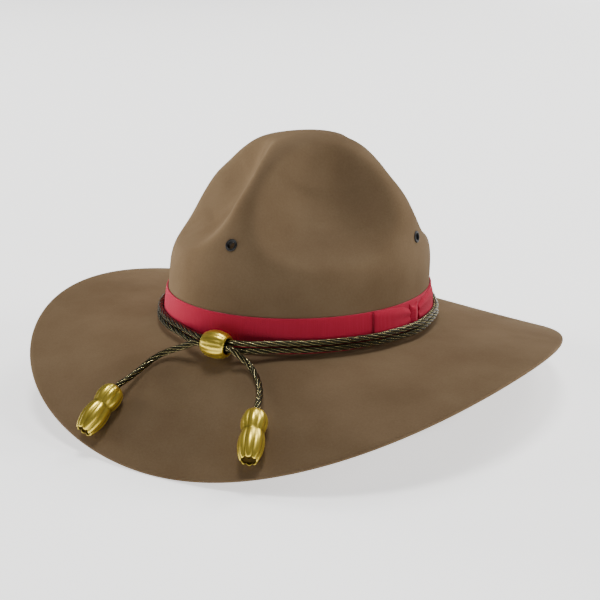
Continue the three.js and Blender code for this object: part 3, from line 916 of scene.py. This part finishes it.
# %% [markdown]
# ## Vents and eyelets
# At the foot of each ridge is a vent, punched through the felt and bound with a black enamelled eyelet
# that is rolled over on both sides. The holes are cut by a boolean, and the eyelets are turned from a
# closed profile whose rolled flange is an arc. Japanning is a baked black varnish: it hides the brass
# and gives each rolled flange one soft, broad highlight.

# %% Vents and eyelets
EYELET_ROWS = {
    # degrees round the hat and height
    "eyelet_front": (0, 66.6),
    "eyelet_left": (94, 64),
    "eyelet_rear": (180, 65),
    "eyelet_right": (270, 65),
}
EYELET_HOLE = 2.4
EYELET_FLANGE = 4
EYELET_WALL = 0.4
EYELET_EDGE = 0.12
EYELET_LIP = 0.7
EYELET_SEAT = 0.1
EYELET_SIDES = 40
LIP_STEPS = 9
PEEL = 0.8
VENT_RADIUS = 3.3
DRILL_REACH = 4 * FELT
DRILL_SIDES = 32
TURN_STEP = 1
RISE_STEP = 0.01


def eyelet_place(at, height):
    """The middle of a vent on the outside of the felt, and the direction out of it."""
    share = share_at_height(height)
    middle = crown_point(share, at)
    sideways = crown_point(share, at + TURN_STEP) - crown_point(share, at - TURN_STEP)
    upwards = crown_point(share + RISE_STEP, at) - crown_point(share - RISE_STEP, at)
    outwards = np.cross(sideways, upwards)
    return middle, outwards / np.linalg.norm(outwards)


def rolled_profile():
    """Radius and distance round an eyelet, with a rolled flange on each side of the felt."""
    rows = []
    width = (EYELET_FLANGE - EYELET_HOLE) / 2
    for side, face in ((1, EYELET_SEAT), (-1, -FELT - EYELET_SEAT)):
        for turn in np.linspace(0, math.pi, LIP_STEPS):
            radius = EYELET_HOLE + width * (1 - math.cos(turn))
            rows.append((radius, face + side * (EYELET_EDGE + EYELET_LIP * math.sin(turn))))
        rows += [(EYELET_FLANGE, face), (EYELET_HOLE + EYELET_WALL, face)]
        if side == 1:
            outer = rows
            rows = []
    return np.array(outer + rows[::-1])


def eyelet_material():
    """Black japanned enamel on brass, a little orange-peeled."""
    material, tree, shader = new_material(
        "black japanned brass", Base_Color=colour("#0C0C0D"), Roughness=0.5,
    )
    place = add(tree, "ShaderNodeTexCoord").outputs["Object"]
    peel = add(tree, "ShaderNodeTexNoise", {"Vector": place, "Scale": per_metre(PEEL)})
    bump = add(tree, "ShaderNodeBump", {"Height": peel, "Strength": 0.1, "Distance": 0.1 * MM})
    tree.links.new(bump.outputs[0], shader.inputs["Normal"])
    return material


def cut_vents(body):
    """Punches the four vents through the felt."""
    profile = [
        (0, -DRILL_REACH), (VENT_RADIUS, -DRILL_REACH), (VENT_RADIUS, DRILL_REACH), (0, DRILL_REACH),
    ]
    drills = []
    for at, height in EYELET_ROWS.values():
        middle, outwards = eyelet_place(at, height)
        points, _ = turned_grid(profile, middle, outwards, DRILL_SIDES)
        drills.append(seat(points.reshape(-1, 3)))
    faces = [
        tuple(len(profile) * DRILL_SIDES * k + corner for corner in face)
        for k in range(len(drills)) for face in grid_faces(len(profile), DRILL_SIDES)
    ]
    drill = closed_mesh("drills", np.vstack(drills), faces)
    cutter = body.modifiers.new("vents", "BOOLEAN")
    cutter.operation = "DIFFERENCE"
    cutter.object = drill
    graph = bpy.context.evaluated_depsgraph_get()
    mesh = bpy.data.meshes.new_from_object(body.evaluated_get(graph), depsgraph=graph)
    body.modifiers.clear()
    body.data = mesh
    bpy.data.objects.remove(drill)


cut_vents(felt)
finished(felt, "felt_body")
japanned = eyelet_material()
lip_profile = rolled_profile()
for name, (at, height) in EYELET_ROWS.items():
    middle, outwards = eyelet_place(at, height)
    points, _ = turned_grid(lip_profile, middle, outwards, EYELET_SIDES)
    faces = grid_faces(len(lip_profile), EYELET_SIDES, round_rows=True)
    ring = closed_mesh("rolled_" + name, seat(points.reshape(-1, 3)), faces)
    finished(ring, name, japanned)

# %% [markdown]
# ## Grosgrain ribbon
# Grosgrain is woven with thick weft threads, which stand as ribs across the ribbon. The ribs are real
# relief here: the ribbon's mesh carries the distance along the ribbon, and a geometry tree raises it
# by a wave of that distance. Real ribs are about 0.8 mm apart, and these are 1.2 mm so that they show.
# The rayon warp between them gives a soft pink bloom at low angles, which is the sheen.

# %% Ribs of the ribbon
RIB_PITCH = 1.2
STREAK = 25
RIB_STEPS = 4


def ribbon_material():
    """Rayon grosgrain: satin threads over ribs."""
    material, tree, shader = new_material(
        "rayon grosgrain", Roughness=0.7, Specular_IOR_Level=0.1, Sheen_Weight=0.25,
        Sheen_Roughness=0.4, Sheen_Tint=colour("#FF9CB0"),
    )
    along = add(tree, "ShaderNodeAttribute", attribute_name="along").outputs["Fac"]
    across = add(tree, "ShaderNodeAttribute", attribute_name="across").outputs["Fac"]
    spot = add(tree, "ShaderNodeCombineXYZ", {0: along, 1: across})
    streak = add(tree, "ShaderNodeMapping", {"Vector": spot, "Scale": (1 / RIB_PITCH, 1 / STREAK, 1)})
    threads = add(tree, "ShaderNodeTexNoise", {"Vector": streak, "Scale": 1.0, "Detail": 2.0})
    tone = add(
        tree, "ShaderNodeMix",
        {0: threads, 6: colour("#961B2F"), 7: colour("#A22038")}, data_type="RGBA",
    )
    tree.links.new(tone.outputs[2], shader.inputs["Base Color"])
    return material


grosgrain = ribbon_material()
RIB_SIZES = {"Rib pitch": RIB_PITCH, "Rib height": 0.06 * MM, "Finish": grosgrain}


def rib_tree():
    """Raises ribs across a ribbon, by a wave of the distance along it."""
    tree, given, result = new_tree("ribs", RIB_SIZES)
    along, face = (
        add(tree, "GeometryNodeInputNamedAttribute", {"Name": label}, data_type="FLOAT")
        for label in ("along", "face")
    )
    ribs = add(tree, "ShaderNodeMath", {0: along, 1: given["Rib pitch"]}, operation="DIVIDE")
    angle = add(tree, "ShaderNodeMath", {0: ribs, 1: 2 * math.pi}, operation="MULTIPLY")
    wave = add(tree, "ShaderNodeMath", {0: angle}, operation="COSINE")
    lift = add(tree, "ShaderNodeMath", {0: wave, 1: face}, operation="MULTIPLY")
    height = add(tree, "ShaderNodeMath", {0: lift, 1: given["Rib height"]}, operation="MULTIPLY")
    normal = add(tree, "GeometryNodeInputNormal")
    offset = add(tree, "ShaderNodeVectorMath", {0: normal, "Scale": height}, operation="SCALE")
    moved_and_finished(tree, given, result, offset)
    return tree


woven_ribs = rib_tree()


def ribbon_piece(name, at, across, lower, upper, outer, inner, along=None, is_ring=False):
    """A strip of ribbon beside the crown: a grid of angles and shares across, as a closed solid."""
    height = lower[:, None] + (upper - lower)[:, None] * across
    angle = np.broadcast_to(at[:, None], height.shape)
    front = beside_crown(angle, height, np.broadcast_to(outer, height.shape))
    back = beside_crown(angle, height, np.broadcast_to(inner, height.shape))
    if along is None:
        middle = front[:, len(across) // 2]
        along = np.concatenate([[0], np.cumsum(np.linalg.norm(np.diff(middle, axis=0), axis=1))])
        along = np.broadcast_to(along[:, None], height.shape)
    points = np.concatenate([front, back[:, ::-1]], axis=1)
    face = np.ones_like(height)
    face[:, [0, -1]] = 0
    if not is_ring:
        face[[0, -1]] = 0
    columns = points.shape[1]
    faces = grid_faces(len(at), columns, round_rows=is_ring)
    if not is_ring:
        end = (len(at) - 1) * columns
        half = columns // 2
        for start in (0, end):
            for j in range(half - 1):
                faces.append((start + j, start + j + 1, start + columns - 2 - j, start + columns - 1 - j))
                if start == 0:
                    faces[-1] = tuple(reversed(faces[-1]))
    twice = [np.concatenate([values, values[:, ::-1]], axis=1) for values in (along, height)]
    face = np.concatenate([face, 0 * face], axis=1)
    body = closed_mesh(
        name + "_plain", seat(points.reshape(-1, 3)), faces,
        {"along": twice[0], "across": twice[1], "face": face},
    )
    return grown(name, body, woven_ribs, RIB_SIZES)


# %% [markdown]
# ## The band
# The band is one length of ribbon round the foot of the crown. It lies close to the felt, so its
# edges bend in towards it.

# %% Band
FOOT_ROUND = 603
EDGE_DIP = 0.45
EDGE_SQUARENESS = 12
BAND_INSIDE = 0.05
band_count = RIB_STEPS * round(FOOT_ROUND / RIB_PITCH)
band_at = np.linspace(0, 360, band_count, endpoint=False)
band_across = np.array([0, 0.02, 0.06, 0.2, 0.4, 0.6, 0.8, 0.94, 0.98, 1])
band_outer = GAP + RIBBON - EDGE_DIP * np.abs(2 * band_across - 1) ** EDGE_SQUARENESS
ones = np.ones(band_count)
band_middle = beside_crown(band_at, np.full(band_count, (RIBBON_FOOT + RIBBON_TOP) / 2), GAP + RIBBON)
band_steps = np.linalg.norm(np.diff(np.vstack([band_middle, band_middle[:1]]), axis=0), axis=1)
band_pitch = band_steps.sum() / round(band_steps.sum() / RIB_PITCH)
band_along = np.concatenate([[0], np.cumsum(band_steps)[:-1]]) * RIB_PITCH / band_pitch
band = ribbon_piece(
    "ribbon_round_crown", band_at, band_across, RIBBON_FOOT * ones, RIBBON_TOP * ones,
    band_outer, BAND_INSIDE, along=np.broadcast_to(band_along[:, None], (band_count, len(band_across))),
    is_ring=True,
)
finished(band, "ribbon_band")
print("band:", round(float(band_steps.sum()), 1), "mm round")

# %% [markdown]
# ## The bow
# The flat bow on the wearer's left hides where the ribbon's ends meet. Each wing is a folded loop:
# square and flat at its outer end, narrow and pleated where the knot holds it. The knot is a short
# piece of ribbon that runs over the middle, so its ribs lie the other way.

# %% Bow
WING_ROWS = np.array([
    # degrees away from the bow's middle, lower edge, upper edge
    (24, 1.8, 24.3),
    (16, 2.0, 24.0),
    (8, 3.5, 22.5),
    (3.6, 7, 19.5),
])
WING_STEPS = 200
WING_THIN = 0.35
WING_LOOP = 0.75
WING_SWELL = 0.6
LOOP_SHARE = 0.05
SWELL_LEAN = 0.7
BOW_SQUARENESS = 8
BOW_UNDER = 0.15
PLEAT = 0.35
PLEATS = 2.5
KNOT_STEPS = 41
KNOT_ACROSS = 81
KNOT_LOW = 4.0
KNOT_HIGH = 22.8
KNOT_PINCH = 2.6
KNOT_ROUND = 0.8
KNOT_CREASE = 0.12
KNOT_PROUD = 0.1
KNOT_UNDER = 0.2
KNOT_LENGTH = 18.5
wing_across = np.array([0, 0.015, 0.05, *np.linspace(0.1, 0.9, 17), 0.95, 0.985, 1])


def bow_wing(name, side):
    """One loop of the bow; side is -1 towards the front and 1 towards the rear."""
    share = np.linspace(0, 1, WING_STEPS)
    away_from_bow = WING_ROWS[0, 0] + (WING_ROWS[-1, 0] - WING_ROWS[0, 0]) * share
    lower, upper = (
        np.interp(-away_from_bow, -WING_ROWS[:, 0], WING_ROWS[:, k]) for k in (1, 2)
    )
    lift = 1 - (2 * wing_across - 1) ** BOW_SQUARENESS
    loop = np.sqrt(1 - (1 - np.minimum(share / LOOP_SHARE, 1)) ** 2)[:, None]
    swell = np.sin(math.pi * share ** SWELL_LEAN)[:, None]
    pleats = PLEAT * share[:, None] ** 2 * np.cos(2 * math.pi * PLEATS * wing_across)
    base = 2 * GAP + RIBBON
    outer = base + lift * (WING_THIN + WING_LOOP * loop + WING_SWELL * swell + pleats)
    at = BOW_AT + side * away_from_bow
    return ribbon_piece(name, at, wing_across, lower, upper, outer, base - BOW_UNDER)


def bow_knot(name):
    """The short piece over the middle of the bow, with ribs that run round the crown."""
    share = np.linspace(-1, 1, KNOT_STEPS)
    across = np.linspace(0, 1, KNOT_ACROSS)
    lower = np.full(KNOT_STEPS, KNOT_LOW)
    upper = KNOT_HIGH - KNOT_PINCH * (1 - share ** 2)
    base = 2 * GAP + RIBBON
    side = np.cos(math.pi / 2 * share)[:, None] ** KNOT_ROUND
    end = np.sqrt(1 - (2 * across - 1) ** BOW_SQUARENESS)
    crease = KNOT_CREASE * np.cos(2 * math.pi * share)[:, None]
    outer = base - BOW_UNDER + (KNOT_THICKNESS + KNOT_PROUD + crease) * side * end
    along = np.broadcast_to(across * KNOT_LENGTH, (KNOT_STEPS, KNOT_ACROSS))
    at = BOW_AT + KNOT_AWAY * share
    return ribbon_piece(name, at, across, lower, upper, outer, base - KNOT_UNDER, along)


for name, side in (("bow_wing_front", -1), ("bow_wing_rear", 1)):
    finished(bow_wing("ribbon_" + name, side), name)
finished(bow_knot("ribbon_bow_knot"), "bow_knot")

# %% [markdown]
# ## Floor and light
# The hat stands on a white acrylic sheet that is lit a little from below, as on a product table. Six
# soft boxes stand round it, 4 m away. Each is given by its angle round the hat from the camera towards
# the right of the picture, its angle above the table, its size and its power. Two on the left draw the
# ridges, one on the right opens the shadows, one overhead lights the brim, and two behind on the right
# lift the rim. Only two of them may be mirrored. A photographer puts polarising filters before the
# others for the same reason: mirrored in the cord's glossy yarn, they would turn it grey. The sheet's
# glow fades out under the crown: this paints a soft shadow on the floor under the hat and keeps the
# inside of the hat dark, so that the vents look into a dark hat.

# %% Floor
FLOOR_RADIUS = 9.0
FLOOR_SIDES = 64
FLOOR_GLOW = 1.0
GLOW_FROM = 0.08
GLOW_TO = 0.13
floor_mesh = bpy.data.meshes.new("floor")
floor_turn = np.linspace(0, 2 * math.pi, FLOOR_SIDES, endpoint=False)
floor_points = np.stack([np.cos(floor_turn), np.sin(floor_turn), 0 * floor_turn], axis=1)
floor_mesh.from_pydata((FLOOR_RADIUS * floor_points).tolist(), [], [tuple(range(FLOOR_SIDES))])
floor = bpy.data.objects.new("floor", floor_mesh)
bpy.context.collection.objects.link(floor)
acrylic, acrylic_tree, acrylic_shader = new_material(
    "lit white acrylic", Base_Color=colour("#F6F5F3"), Roughness=0.9, Emission_Color=colour("#FFFFFF"),
)
floor_place = add(acrylic_tree, "ShaderNodeTexCoord").outputs["Object"]
from_middle = add(acrylic_tree, "ShaderNodeVectorMath", {0: floor_place}, operation="LENGTH")
# Painted shadow: the sheet's glow fades out under the hat, from GLOW_TO in to GLOW_FROM.
glow = add(acrylic_tree, "ShaderNodeMapRange", {
    "Value": from_middle.outputs["Value"], "From Min": GLOW_FROM, "From Max": GLOW_TO, "To Max": FLOOR_GLOW,
})
acrylic_tree.links.new(glow.outputs[0], acrylic_shader.inputs["Emission Strength"])
floor.data.materials.append(acrylic)

# %% Lights
LIGHT_AWAY = 4.0
LIGHT_AIM = Vector((0, 0, 0.08))
WORLD_GLOW = 0.1
LIGHT_ROWS = [
    # name, degrees round from the camera, degrees up, width and height in metres, watts, mirrored
    ("low rear left", 240, 6, 1.8, 0.72, 290, False),
    ("left", 270, 20, 1.8, 1.4, 52, False),
    ("right", 90, 20, 1.8, 1.4, 115, False),
    ("overhead", 0, 90, 1.2, 1.2, 101, True),
    ("high rear right", 135, 45, 2.0, 2.0, 86, True),
    ("low rear right", 150, 6, 1.8, 0.72, 53, False),
]
world = bpy.data.worlds.new("studio")
world.use_nodes = True
backdrop = world.node_tree.nodes["Background"]
backdrop.inputs["Color"].default_value = (1.0, 1.0, 1.0, 1.0)
backdrop.inputs["Strength"].default_value = WORLD_GLOW
bpy.context.scene.world = world
image_right = Vector((math.cos(AZIMUTH), math.sin(AZIMUTH), 0))
image_depth = Vector((-math.sin(AZIMUTH), math.cos(AZIMUTH), 0))
for name, round_hat, up, width, height, watts, mirrored in LIGHT_ROWS:
    data = bpy.data.lights.new(name, "AREA")
    data.shape = "RECTANGLE"
    data.size = width
    data.size_y = height
    data.energy = watts
    turn, rise = math.radians(round_hat), math.radians(up)
    level = image_right * math.sin(turn) - image_depth * math.cos(turn)
    towards = level * math.cos(rise) + Vector((0, 0, math.sin(rise)))
    light = bpy.data.objects.new(name, data)
    light.location = LIGHT_AIM + LIGHT_AWAY * towards
    light.rotation_mode = "QUATERNION"
    light.rotation_quaternion = (-towards).to_track_quat("-Z", "Y")
    light.visible_glossy = mirrored
    light.visible_camera = False
    bpy.context.collection.objects.link(light)
print("lights:", ", ".join(row[0] for row in LIGHT_ROWS))
